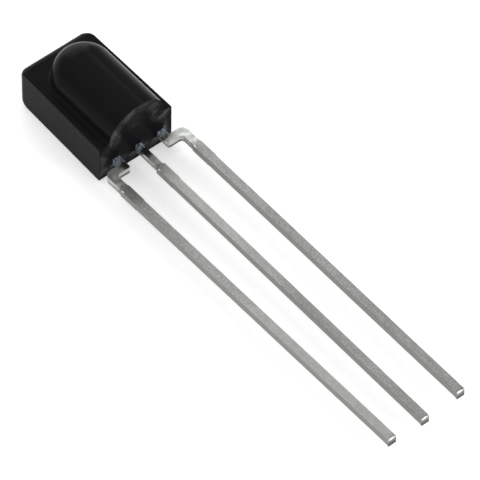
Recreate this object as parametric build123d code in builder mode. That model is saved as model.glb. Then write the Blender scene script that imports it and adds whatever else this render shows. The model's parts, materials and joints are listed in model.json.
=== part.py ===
"""Infrared receiver module: an epoxy package cast round a stamped three-lead frame.

Millimetres. The module lies on its flat back. X runs across the body, +Y points from the
leads to the domed end, +Z points out through the lens. The origin is the middle of the back.
"""
import os
from math import atan2, cos, degrees, radians, sin, tan

from build123d import *

# --- cast body ----------------------------------------------------------------
body_height = 7.35         # back edge of the lead end to the domed end
body_thickness = 2.66      # back to the ledges beside the lens
back_width = 5.0           # across the back, half way up
front_width = 4.90         # across the ledges, half way up
side_draft = 0.5           # degrees on each side, wider towards the lead end
domed_end_radius = 0.48    # all round the domed end
edge_radius = 0.06         # the cup's long edges

# --- lens: a half cylinder on straight walls above the ledges, closed by a dome ---
lens_radius = 1.85
lens_rise = 0.35           # its axis above the ledges
dome_setback = 2.92        # domed end to the dome's centre
lens_root_radius = 0.18    # fillet between the lens and the ledges

# --- underside, where the resin set against the air -------------------------------
underside_tilt = 2.0       # degrees: the resin stood further out towards the ledges
lens_overhang = 7.0        # degrees more, above the ledges
mouth_spare = 1.0          # casting beyond the underside until it is cut off
rim_width = 0.30           # flat rim along the cup's wall
dish_depth = 0.16          # how far the middle sank
dish_slope = 50.0          # degrees between the dish's wall and the lead direction
collar_reach = 0.12        # resin drawn out along each lead: its foot, past the lead's faces
collar_height = 0.11       # its height above the dish
collar_lip = 0.02          # its thickness at the top

# --- lead frame, stamped from sheet -------------------------------------------------
sheet_thickness = 0.45
sheet_height = 1.04        # back of the body to the middle of the sheet
frame_offset = 0.09        # the frame sits this far to the +X side of the cup's middle
lead_pitch = 2.54
lead_width = 0.50
centre_neck_width = 0.40
outer_neck_width = 0.46
neck_pitch = 1.56          # centre lead to the outer necks
jog_start = 0.64           # underside to the near edge of the jog
jog_width = 0.52
jog_outer_radius = 0.42    # the bend onto the lead
jog_inner_radius = 0.22    # inside that bend
neck_inner_radius = 0.12   # where the neck turns into the jog, inside and outside
dam_bar_start = 2.05       # underside to the stub left by the sheared dam bar
dam_bar_length = 1.45
dam_bar_width = 0.60
dam_bar_step = 0.07        # length of the slope at each end of the stub

# reach below the underside, and how each sheared tip strays from it and along X
lead_reach = 24.56
output_extra = 0.02
output_drift = 0.18
ground_extra = 0.08
ground_drift = -0.06
supply_extra = -0.10
supply_drift = 0.02

# --- bond posts and die paddle, inside the casting -----------------------------------
frame_gap = 0.35           # between neighbouring metal
post_shift = 0.065         # post's middle, outwards from its neck's middle
post_width = 0.75
post_bottom = 0.85         # heights above the lead end of the body
post_top = 2.30
post_corner_radius = 0.12
paddle_bottom = 0.95
paddle_margin = 0.45       # metal round the photodiode
paddle_corner_radius = 0.15

# --- chips -----------------------------------------------------------------------------
diode_size = 2.0           # square
diode_thickness = 0.28
ic_width = 1.30
ic_length = 1.00
ic_thickness = 0.25
ic_height = 1.95           # lead end of the body to the chip's middle
attach_thickness = 0.03
attach_margin = 0.05       # the layer shows this far round the chip

# --- bond wires --------------------------------------------------------------------------
wire_diameter = 0.03
wire_sides = 6             # flat faces round the wire
ball_diameter = 0.08
ball_sides = 12
ball_height = 0.02
loop_rise = 0.18           # top of the loop above the pad where it starts
loop_flat = 0.3            # share of the span before the loop comes down
pad_inset = 0.16           # pads from the chip's edge
signal_shift = 0.5         # the photodiode's pad, from the chip's middle
stitch_inset = 0.18        # stitches from the edge of the metal they land on

# --- places that follow ---------------------------------------------------------------------
lead_end = -body_height / 2
domed_end = body_height / 2
dome_centre = domed_end - dome_setback
dome_height = body_height - dome_setback
lens_axis = body_thickness + lens_rise
above_lens = lens_axis + lens_radius + mouth_spare
side_slope = tan(radians(side_draft))
side_lean = (back_width - front_width) / 2 / body_thickness
draft_spread = body_height / 2 * side_slope
block_length = body_height + mouth_spare
block_start = domed_end - block_length
jog_end = jog_start + jog_width
dam_bar_end = dam_bar_start + dam_bar_length
post_centre = neck_pitch + post_shift
post_inner = post_centre - post_width / 2
paddle_waist = 2 * (post_inner - frame_gap)
paddle_shoulder = post_top + frame_gap
paddle_width = diode_size + 2 * paddle_margin
paddle_top = dome_height + paddle_width / 2

# The underside's line, seen from the side: how far each height stands out past the lead end.
ledge_out = body_thickness * tan(radians(underside_tilt))
above_out = ledge_out + (above_lens - body_thickness) * tan(radians(underside_tilt + lens_overhang))

# Planes across the body: the block's square end, the tilted underside, and the dish's floor
# looking back out along the leads.
block_end = Plane(origin=(0, block_start, 0), x_dir=(-1, 0, 0), z_dir=(0, 1, 0))
into_body = (0, cos(radians(underside_tilt)), sin(radians(underside_tilt)))
underside = Plane(origin=(0, lead_end, 0), x_dir=(-1, 0, 0), z_dir=into_body)
dish_floor = Plane(origin=underside.offset(dish_depth).origin, x_dir=(1, 0, 0), z_dir=-underside.z_dir)
# Planes along the frame. Heights in them count from the lead end of the body.
frame_back = Plane(origin=(frame_offset, lead_end, sheet_height - sheet_thickness / 2))
frame_front = frame_back.offset(sheet_thickness)
chip_seat = frame_front.offset(attach_thickness)

os.makedirs("parts", exist_ok=True)


def save(piece, label):
    """Name a finished piece and write its STEP file."""
    piece.part.label = label
    export_step(piece.part, f"parts/{label}.step")


# --- lead frame ------------------------------------------------------------------------------
def upright(centre, width, low, high):
    """A straight upright of the frame, between two heights."""
    with Locations((centre, (low + high) / 2)):
        Rectangle(width, high - low)


def leg(centre, top, top_width, reach, drift):
    """The free lead from `top` below the underside to its tip, with the dam-bar stub."""
    stations = (
        (top, top_width),
        (dam_bar_start, top_width),
        (dam_bar_start + dam_bar_step, dam_bar_width),
        (dam_bar_end - dam_bar_step, dam_bar_width),
        (dam_bar_end, lead_width),
        (reach, lead_width),
    )
    edges = []
    for side in (-1, 1):
        edge = [(centre + drift * down / reach + side * width / 2, -down) for down, width in stations]
        edges.append(edge)
    Polygon(*edges[0], *reversed(edges[1]), align=None)


def round_corner(outline, x, y, radius):
    """Round the outline's corner at a point."""
    corner = outline.vertices().sort_by_distance((x, y))[0]
    fillet(corner, radius)


def outer_lead(side, reach, drift):
    """Blank of an outer lead: bond post, neck, jog outwards and leg. side is -1 or +1 along X."""
    neck_inside = neck_pitch - outer_neck_width / 2
    neck_outside = neck_pitch + outer_neck_width / 2
    leg_inside = lead_pitch - lead_width / 2
    leg_outside = lead_pitch + lead_width / 2
    with BuildSketch(frame_back) as blank:
        upright(side * post_centre, post_width, post_bottom, post_top)
        post_corners = blank.vertices()
        fillet(post_corners, post_corner_radius)
        upright(side * neck_pitch, outer_neck_width, -jog_end, (post_bottom + post_top) / 2)
        with Locations((side * (neck_inside + leg_outside) / 2, -(jog_start + jog_end) / 2)):
            Rectangle(leg_outside - neck_inside, jog_width)
        leg(side * lead_pitch, jog_end, lead_width, reach, drift)
        lean = drift * jog_end / reach
        round_corner(blank, side * leg_outside, -jog_start, jog_outer_radius)
        round_corner(blank, side * leg_inside + lean, -jog_end, jog_inner_radius)
        round_corner(blank, side * neck_outside, -jog_start, neck_inner_radius)
        round_corner(blank, side * neck_inside, -jog_end, neck_inner_radius)
    return blank.sketch


with BuildPart() as lead_output:
    extrude(outer_lead(-1, lead_reach + output_extra, output_drift), amount=sheet_thickness)

with BuildPart() as lead_supply:
    extrude(outer_lead(1, lead_reach + supply_extra, supply_drift), amount=sheet_thickness)

with BuildPart() as lead_ground:
    with BuildSketch(frame_back) as ground_blank:
        upright(0, paddle_width, paddle_shoulder, paddle_top)
        upright(0, paddle_waist, paddle_bottom, paddle_shoulder)
        paddle_corners = ground_blank.vertices().filter_by_position(Axis.Y, paddle_bottom, paddle_top)
        fillet(paddle_corners, paddle_corner_radius)
        upright(0, centre_neck_width, 0, (paddle_bottom + paddle_shoulder) / 2)
        leg(0, 0, centre_neck_width, lead_reach + ground_extra, ground_drift)
    extrude(amount=sheet_thickness)


# --- chips and the layers that hold them -----------------------------------------------------
def chip(width, length, thickness, height):
    """A chip on its seat, in the middle of the frame."""
    with BuildPart() as piece:
        with BuildSketch(chip_seat) as outline:
            with Locations((0, height)):
                Rectangle(width, length)
        extrude(outline.sketch, amount=thickness)
    return piece


def die_attach(width, length, height):
    """The conductive layer between a chip and the paddle."""
    with BuildPart() as piece:
        with BuildSketch(frame_front) as outline:
            with Locations((0, height)):
                RectangleRounded(width + 2 * attach_margin, length + 2 * attach_margin, attach_margin)
        extrude(outline.sketch, amount=attach_thickness)
    return piece


photodiode_chip = chip(diode_size, diode_size, diode_thickness, dome_height)
photodiode_die_attach = die_attach(diode_size, diode_size, dome_height)
receiver_ic = chip(ic_width, ic_length, ic_thickness, ic_height)
ic_die_attach = die_attach(ic_width, ic_length, ic_height)


# --- bond wires --------------------------------------------------------------------------------
def bond_wire(start, end, start_level, end_level):
    """A wire from a ball on a pad, up, across and down to a stitch on lower metal.

    start and end are places on the frame; the levels are heights above the frame's front.
    """
    span = Vector(*end) - Vector(*start)
    heading = degrees(atan2(span.Y, span.X))
    pad = frame_front.offset(start_level).shift_origin(
        frame_front.offset(start_level).from_local_coords((*start, 0))
    )
    loop = pad.rotated((90, 0, 0)).rotated((0, 0, heading))
    with BuildPart() as piece:
        with BuildLine(loop) as path:
            Polyline(
                (0, 0),
                (0, loop_rise),
                (loop_flat * span.length, loop_rise),
                (span.length, end_level - start_level - wire_diameter),
            )
        with BuildSketch(pad) as section:
            RegularPolygon(wire_diameter / 2, wire_sides)
        sweep(section.sketch, path=path.wires()[0], transition=Transition.RIGHT)
        with BuildSketch(pad) as ball:
            RegularPolygon(ball_diameter / 2, ball_sides)
        extrude(ball.sketch, amount=ball_height)
        split(bisect_by=frame_front.offset(end_level), keep=Keep.TOP)
    return piece


ic_top = attach_thickness + ic_thickness
diode_top = attach_thickness + diode_thickness
ic_pad_x = ic_width / 2 - pad_inset
ic_near_edge = ic_height - ic_length / 2
ic_far_edge = ic_height + ic_length / 2
signal_pad = (signal_shift, dome_height - diode_size / 2 + pad_inset)
signal_landing = (ic_pad_x, ic_far_edge - pad_inset)
output_pad = (-ic_pad_x, ic_height)
supply_pad = (ic_pad_x, ic_height)
post_stitch_x = post_inner + stitch_inset
ground_pad = (0, ic_near_edge + pad_inset)
ground_stitch = (0, paddle_bottom + stitch_inset)

bond_wire_signal = bond_wire(signal_pad, signal_landing, diode_top, ic_top)
bond_wire_output = bond_wire(output_pad, (-post_stitch_x, ic_height), ic_top, 0)
bond_wire_supply = bond_wire(supply_pad, (post_stitch_x, ic_height), ic_top, 0)
bond_wire_ground = bond_wire(ground_pad, ground_stitch, ic_top, 0)


# --- the casting round it all --------------------------------------------------------------------
inner_pieces = {
    "lead_output": lead_output,
    "lead_ground": lead_ground,
    "lead_supply": lead_supply,
    "photodiode_die_attach": photodiode_die_attach,
    "photodiode_chip": photodiode_chip,
    "ic_die_attach": ic_die_attach,
    "receiver_ic": receiver_ic,
    "bond_wire_signal": bond_wire_signal,
    "bond_wire_output": bond_wire_output,
    "bond_wire_supply": bond_wire_supply,
    "bond_wire_ground": bond_wire_ground,
}


with BuildPart() as package_body:
    # block with its back and ledges parallel, its sides drafted and leaning in to the front
    with Locations((0, domed_end - block_length / 2, 0)):
        Box(2 * back_width, block_length, body_thickness, align=(Align.CENTER, Align.CENTER, Align.MIN))
    for side in (-1, 1):
        wall = Plane(origin=(side * back_width / 2, 0, 0), z_dir=(side, side_slope, side_lean))
        split(bisect_by=wall, keep=Keep.BOTTOM)
    domed_face = package_body.faces().sort_by(Axis.Y)[-1]
    fillet(domed_face.edges(), domed_end_radius)
    long_edges = package_body.edges().filter_by(lambda edge: edge.bounding_box().size.Y > body_height / 2)
    fillet(long_edges, edge_radius)

    # lens
    with BuildSketch(block_end):
        with Locations((0, lens_axis)):
            Circle(lens_radius)
        with Locations((0, body_thickness + lens_rise / 2)):
            Rectangle(2 * lens_radius, lens_rise)
    extrude(amount=block_length - dome_setback)
    with Locations((0, dome_centre, lens_axis)):
        Sphere(lens_radius)
        Cylinder(lens_radius, lens_rise, align=(Align.CENTER, Align.CENTER, Align.MAX))
    ledge_level = package_body.edges().filter_by_position(Axis.Z, body_thickness, body_thickness)
    lens_root = ledge_level.filter_by_position(Axis.X, -lens_radius, lens_radius)
    lens_root = lens_root.filter_by_position(Axis.Y, lead_end, dome_centre + lens_radius)
    fillet(lens_root, lens_root_radius)

    # underside, further out towards the lens's crest
    with BuildSketch(Plane.YZ):
        Polygon(
            (lead_end, 0),
            (lead_end - ledge_out, body_thickness),
            (lead_end - above_out, above_lens),
            (block_start - mouth_spare, above_lens),
            (block_start - mouth_spare, 0),
            align=None,
        )
    extrude(amount=back_width, both=True, mode=Mode.SUBTRACT)

    # dish, inside its rim
    with BuildSketch(underside) as dish:
        back = back_width / 2 + draft_spread - rim_width
        front = front_width / 2 + draft_spread - rim_width
        top = body_thickness - rim_width
        Polygon((-back, rim_width), (back, rim_width), (front, top), (-front, top), align=None)
        with Locations((0, lens_axis)):
            Circle(lens_radius - rim_width)
    extrude(dish.sketch, amount=dish_depth, taper=dish_slope, mode=Mode.SUBTRACT)
    extrude(dish.sketch, amount=-mouth_spare, mode=Mode.SUBTRACT)

    # resin drawn out along each lead
    collar_slope = degrees(atan2(collar_reach - collar_lip, collar_height))
    with BuildSketch(dish_floor) as collars:
        necks = ((-neck_pitch, outer_neck_width), (0, centre_neck_width), (neck_pitch, outer_neck_width))
        for place, width in necks:
            with Locations((frame_offset + place, sheet_height)):
                Rectangle(width + 2 * collar_reach, sheet_thickness + 2 * collar_reach)
    extrude(amount=collar_height, taper=collar_slope)

    # room for what it is cast round
    for piece in inner_pieces.values():
        add(piece.part, mode=Mode.SUBTRACT)

save(package_body, "package_body")
for label, piece in inner_pieces.items():
    save(piece, label)
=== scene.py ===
"""Looks of an infrared receiver module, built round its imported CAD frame.

Laid out as an add-on and run as a script. Lengths are in metres, in the frame of the CAD model:
X across the body, +Y from the leads to the domed end, +Z out through the lens.
"""

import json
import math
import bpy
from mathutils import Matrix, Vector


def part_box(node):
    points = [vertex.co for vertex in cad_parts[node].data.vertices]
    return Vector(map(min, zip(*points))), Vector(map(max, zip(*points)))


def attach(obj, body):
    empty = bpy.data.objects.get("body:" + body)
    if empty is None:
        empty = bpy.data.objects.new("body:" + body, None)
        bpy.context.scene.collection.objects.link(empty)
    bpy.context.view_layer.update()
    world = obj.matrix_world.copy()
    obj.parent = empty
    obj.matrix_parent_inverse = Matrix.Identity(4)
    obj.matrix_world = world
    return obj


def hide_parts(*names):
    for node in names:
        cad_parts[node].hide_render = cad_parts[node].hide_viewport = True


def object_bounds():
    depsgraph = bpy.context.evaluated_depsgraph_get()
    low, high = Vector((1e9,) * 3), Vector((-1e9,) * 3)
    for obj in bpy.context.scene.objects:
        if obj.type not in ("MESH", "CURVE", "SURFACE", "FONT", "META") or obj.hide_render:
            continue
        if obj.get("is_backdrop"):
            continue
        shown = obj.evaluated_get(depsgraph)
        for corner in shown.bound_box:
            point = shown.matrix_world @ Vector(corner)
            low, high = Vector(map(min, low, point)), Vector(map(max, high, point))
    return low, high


bl_info = {
    "name": "Infrared receiver module",
    "version": (1, 0, 0),
    "blender": (4, 5, 0),
    "location": "View3D > Sidebar > Receiver",
    "description": "Casting, leads and studio of an infrared receiver module",
    "category": "Add Mesh",
}

import bmesh
import bpy
from mathutils import Matrix, Vector

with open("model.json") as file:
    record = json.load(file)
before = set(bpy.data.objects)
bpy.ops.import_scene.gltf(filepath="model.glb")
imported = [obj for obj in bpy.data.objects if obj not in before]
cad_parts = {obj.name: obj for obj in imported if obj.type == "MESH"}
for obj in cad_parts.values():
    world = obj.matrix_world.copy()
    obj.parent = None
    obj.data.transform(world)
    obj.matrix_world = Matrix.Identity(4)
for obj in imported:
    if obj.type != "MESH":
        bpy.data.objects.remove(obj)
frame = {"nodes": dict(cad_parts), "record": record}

MM = 0.001
MERGE = 0.00005 * MM        # points nearer than this are one point
NEAR = 0.01 * MM            # a point this near a cut lies on it
DOMED_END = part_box("package_body")[1].y
MOUNTS = {mount["name"]: mount for mount in frame["record"]["mounts"]}
LEAD_ROOTS = Vector(MOUNTS["solder_leads"]["pos_m"])
LEADS = ("lead_output", "lead_ground", "lead_supply")
SHEET_LOW, SHEET_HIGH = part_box("lead_output")
CHIPS = ("photodiode_chip", "receiver_ic")
ADHESIVES = ("photodiode_die_attach", "ic_die_attach")
BOND_WIRES = ("bond_wire_signal", "bond_wire_output", "bond_wire_supply", "bond_wire_ground")

# the kinds of node that the trees use most
MATH = "ShaderNodeMath"
VECTOR = "ShaderNodeVectorMath"
RANGE = "ShaderNodeMapRange"
MIX = "ShaderNodeMix"
NOISE = "ShaderNodeTexNoise"
COMBINE = "ShaderNodeCombineXYZ"
SEPARATE = "ShaderNodeSeparateXYZ"


# --- helpers ------------------------------------------------------------------------------
def linear(hex_colour):
    """An sRGB hex colour as linear RGBA."""
    parts = [int(hex_colour[at:at + 2], 16) / 255 for at in (1, 3, 5)]
    return [c / 12.92 if c <= 0.04045 else ((c + 0.055) / 1.055) ** 2.4 for c in parts] + [1.0]


def add(tree, kind, inputs=(), **settings):
    """Add a node with its settings.

    inputs are values in the order of its sockets, or a dict of them by name or place. A value may be
    another node, for its first output, or one of its sockets.
    """
    node = tree.nodes.new(kind)
    for name, value in settings.items():
        setattr(node, name, value)
    for key, value in inputs.items() if isinstance(inputs, dict) else enumerate(inputs):
        socket = node.inputs[key]
        if isinstance(value, bpy.types.Node):
            value = value.outputs[0]
        if isinstance(value, bpy.types.NodeSocket):
            tree.links.new(value, socket)
        else:
            socket.default_value = value
    return node


def two_tones(tree, shader, pattern, first, second):
    """Colour the shader between two tones, by a pattern."""
    tone = add(tree, MIX, {"Factor": pattern, "A": first, "B": second}, data_type="RGBA")
    tree.links.new(tone.outputs["Result"], shader.inputs["Base Color"])


def new_object(name, data):
    """An object in the scene, with this data."""
    made = bpy.data.objects.new(name, data)
    bpy.context.scene.collection.objects.link(made)
    return made


def wear_material(piece, material):
    """Give a piece its material."""
    piece.data.materials.clear()
    piece.data.materials.append(material)


# --- sizes and colours ----------------------------------------------------------------------
def length(name, description, default_mm):
    """A length property, given in millimetres."""
    return bpy.props.FloatProperty(
        name=name, description=description, default=default_mm * MM, precision=5,
        subtype="DISTANCE", unit="LENGTH",
    )


def angle(name, description, default_degrees):
    """An angle property, given in degrees."""
    return bpy.props.FloatProperty(
        name=name, description=description, default=math.radians(default_degrees),
        subtype="ANGLE", unit="ROTATION",
    )


def colour(name, description, hex_colour):
    """A colour property, given as sRGB hex."""
    return bpy.props.FloatVectorProperty(
        name=name, description=description, default=linear(hex_colour)[:3], min=0, max=1,
        subtype="COLOR", size=3,
    )


class ReceiverCasting(bpy.types.PropertyGroup):
    """Sizes and colours of the cast epoxy body."""

    thickness: length("Thickness", "Back to the ledges beside the lens", 2.66)
    back_width: length("Back width", "Across the back, half way up", 5.0)
    front_width: length("Front width", "Across the ledges, half way up", 4.94)
    side_draft: angle("Side draft", "Each side widens this much towards the lead end", 1.0)
    skew: angle("Skew", "How far the block, but not the lens, is sheared towards -X at the lead end", 0.5)
    corner_radius: length("Corner radius", "The two corners at the domed end, seen from the front", 0.50)
    end_edge_radius: length("End edge radius", "Edges round the domed end", 0.47)
    front_edge_radius: length("Front edge radius", "Edges along the ledges", 0.08)
    back_edge_radius: length("Back edge radius", "Edges along the back", 0.07)
    lens_radius: length("Lens radius", "Half cylinder and dome", 1.85)
    lens_rise: length("Lens rise", "Axis of the half cylinder above the ledges", 0.35)
    lens_root_radius: length("Lens root radius", "Fillet between the lens and the ledges", 0.18)
    dome_height: length("Dome height", "Lead end to the dome's centre", 4.43)
    underside_tilt: angle("Underside tilt", "The lead end leans out towards the lens side", 2.0)
    lens_overhang: angle("Lens overhang", "The lens leans out this much more, above the ledges", 7.0)
    rim_width: length("Rim width", "How far in the resin slopes down from the cup's wall", 0.85)
    rim_wander: length("Rim wander", "How unevenly wide the slope is", 0.40)
    dish_depth: length("Dish depth", "How far the resin sank in the middle", 0.05)
    film_peak: length("Film peak", "From the rim to where the resin is smoothest", 0.40)
    film_reach: length("Film reach", "From the rim to where that smooth band ends", 1.05)
    collar_height: length("Collar height", "How far the resin climbs up each lead", 0.15)
    collar_reach: length("Collar reach", "From a lead out to where the climb has fallen to a third", 0.12)
    neck_pitch: length("Neck pitch", "Between the leads where they leave the resin", 1.56)
    neck_width: length("Neck width", "Each lead where it leaves the resin", 0.43)
    resin: colour("Resin", "Infrared-passing epoxy", "#181819")


class ReceiverLeads(bpy.types.PropertyGroup):
    """Sizes and colours of the tinned leads."""

    edge_rounding: length("Edge rounding", "Stamped edges under the tin", 0.025)
    shank_start: length("Shank start", "From the resin to the end of the cut tie bar's stub", 3.5)
    stub_slope: length("Stub slope", "Length of the slope between the stub and the shank", 0.07)
    tin_depth: length("Tin depth", "The dipped tin on each side of the shank, and below it", 0.02)
    stray: length("Stray", "How far the -X lead's tip strays towards the others", 0.05)
    tip_rounding: length("Tip rounding", "Upper edge of each tip, which the cutter rolled over", 0.09)
    tip_drag: length("Tip drag", "How far the cutter dragged the lower edge of the tip down", 0.08)
    drag_reach: length("Drag reach", "From the tip back to where the drag begins", 0.16)
    burr_reach: length("Burr reach", "From the resin to the burr left where the tie bar was cut", 2.28)
    burr_length: length("Burr length", "Along the lead", 0.24)
    burr_width: length("Burr width", "Across the lead", 0.11)
    bright_reach: length("Bright reach", "From the resin to where the tin turns dull", 1.95)
    film_reach: length("Film reach", "From the resin to where its thin film on the lead ends", 0.45)
    smooth_reach: length("Smooth reach", "From the resin to where the tin stops mirroring it", 1.20)
    clean_reach: length("Clean reach", "How far the middle lead is cleaner, beyond the bright tin", 12.0)
    rubbed: bpy.props.FloatProperty(
        name="Rubbed", description="How clean the outer half of the -X lead is", default=0.32,
    )
    neck_side: length("Neck side", "From the middle lead to the outer necks' outer sides", 1.79)
    film: colour("Film", "Thin film of resin on the lead where it leaves the casting", "#454E5C")
    pale_film: colour("Pale film", "The same where it is crazed", "#B9C6DA")
    bright_tin: colour("Bright tin", "Smooth tin between the resin and the cut tie bar", "#BFC1BC")
    # painted highlight: a bright tone for the glint on the tips' rolled edges and on the burrs
    bare: colour("Bare metal", "Metal that the cutter smeared", "#E0E2E4")
    tin: colour("Tin", "Satin tin plate", "#999998")
    dull_tin: colour("Dull tin", "Handled and oxidised patches", "#8B8B88")
    # partly painted shade: the sides are darker than the cut steel is, for the dim floor that they reflect
    sheared: colour("Sheared sides", "Thin tin on the torn lower part of a stamped side", "#93938F")
    broken: colour("Broken ends", "Bare steel on the lower half of a tip, where it broke off", "#62625F")


class ReceiverStage(bpy.types.PropertyGroup):
    """Camera, floor and lights."""

    azimuth: angle("Azimuth", "Camera round the vertical, from the lead side", -39.156)
    elevation: angle("Elevation", "Camera above the floor", 50.751)
    roll: angle("Roll", "Camera about its own line of sight", -0.111)
    distance: length("Distance", "Camera to the point it looks at", 385.14)
    focal_length: bpy.props.FloatProperty(
        name="Focal length", description="Lens on a 36 mm sensor", default=531.93, subtype="DISTANCE_CAMERA"
    )
    aim: bpy.props.FloatVectorProperty(
        name="Aim", description="What the camera looks at, from the middle of the part",
        default=(0.1465 * MM, -0.1416 * MM, -1.4263 * MM), precision=5,
        subtype="TRANSLATION", unit="LENGTH",
    )
    floor: colour("Floor", "White card", "#F4F4F4")
    surround: bpy.props.FloatProperty(
        name="Surround", description="Light from all round", default=0.5, min=0,
    )


# --- materials ------------------------------------------------------------------------------
def new_material(name):
    """An empty node material with its shader and output."""
    material = bpy.data.materials.new(name)
    material.use_nodes = True
    tree = material.node_tree
    tree.nodes.clear()
    shader = add(tree, "ShaderNodeBsdfPrincipled")
    add(tree, "ShaderNodeOutputMaterial", {"Surface": shader})
    place = add(tree, "ShaderNodeTexCoord").outputs["Object"]
    return material, tree, shader, place


def cast_epoxy(settings):
    """Infrared-passing epoxy, cast in a polished cup: near-black and glossy, with the faint swells that
    curing leaves and the fine haze of a used cup, so that reflections soften and wander a little."""
    material, tree, shader, place = new_material("Cast infrared-passing epoxy")
    shader.inputs["IOR"].default_value = 1.55
    # the resin's free surface, at the lead end, shines less than what the cup's wall shaped
    facing = add(tree, SEPARATE, [tree.nodes["Texture Coordinate"].outputs["Normal"]])
    shine = add(
        tree, RANGE,
        {"Value": facing.outputs["Y"], "From Min": -0.75, "From Max": -0.45, "To Min": 0.009,
         "To Max": 0.021},
    )
    # a band inside the rim set smoother, in folds about 0.7 mm apart
    film = add(tree, "ShaderNodeAttribute", attribute_name="smooth_band")
    folds = add(tree, NOISE, {"Vector": place, "Scale": 1400.0, "Detail": 1.0})
    fold_shine = add(
        tree, RANGE, {"Value": folds, "From Min": 0.40, "From Max": 0.60, "To Min": 0.02, "To Max": 0.13}
    )
    shine = add(tree, MATH, [film.outputs["Fac"], fold_shine, shine], operation="MULTIPLY_ADD")
    tree.links.new(shine.outputs[0], shader.inputs["Specular IOR Level"])
    # haze patches about 1 mm across
    haze = add(tree, NOISE, {"Vector": place, "Scale": 900.0, "Detail": 3.0})
    rough = add(
        tree, RANGE, {"Value": haze, "From Min": 0.3, "From Max": 0.7, "To Min": 0.16, "To Max": 0.26}
    )
    tree.links.new(rough.outputs[0], shader.inputs["Roughness"])
    two_tones(tree, shader, haze, [*settings.resin, 1.0], linear("#1B1B1D"))
    # swells about 0.6 mm apart, and grain near 0.05 mm, coarser than the cup's polish so that it shows
    swells = add(tree, NOISE, {"Vector": place, "Scale": 1600.0, "Detail": 1.0})
    grain = add(tree, NOISE, {"Vector": place, "Scale": 20000.0, "Detail": 2.0})
    swell_bump = add(tree, "ShaderNodeBump", {"Strength": 0.25, "Distance": 0.00002, "Height": swells})
    bump = add(
        tree, "ShaderNodeBump",
        {"Strength": 0.12, "Distance": 0.000004, "Height": grain, "Normal": swell_bump},
    )
    tree.links.new(bump.outputs[0], shader.inputs["Normal"])
    return material


RAGGED = 0.45 * MM                         # how far the limit between two kinds of tin wanders
SOFTNESS = 0.15 * MM                       # half the width over which one turns into the other
RUBBED_FROM, RUBBED_FULL = 8 * MM, 13 * MM # beyond the bright tin, on the -X lead


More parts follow.
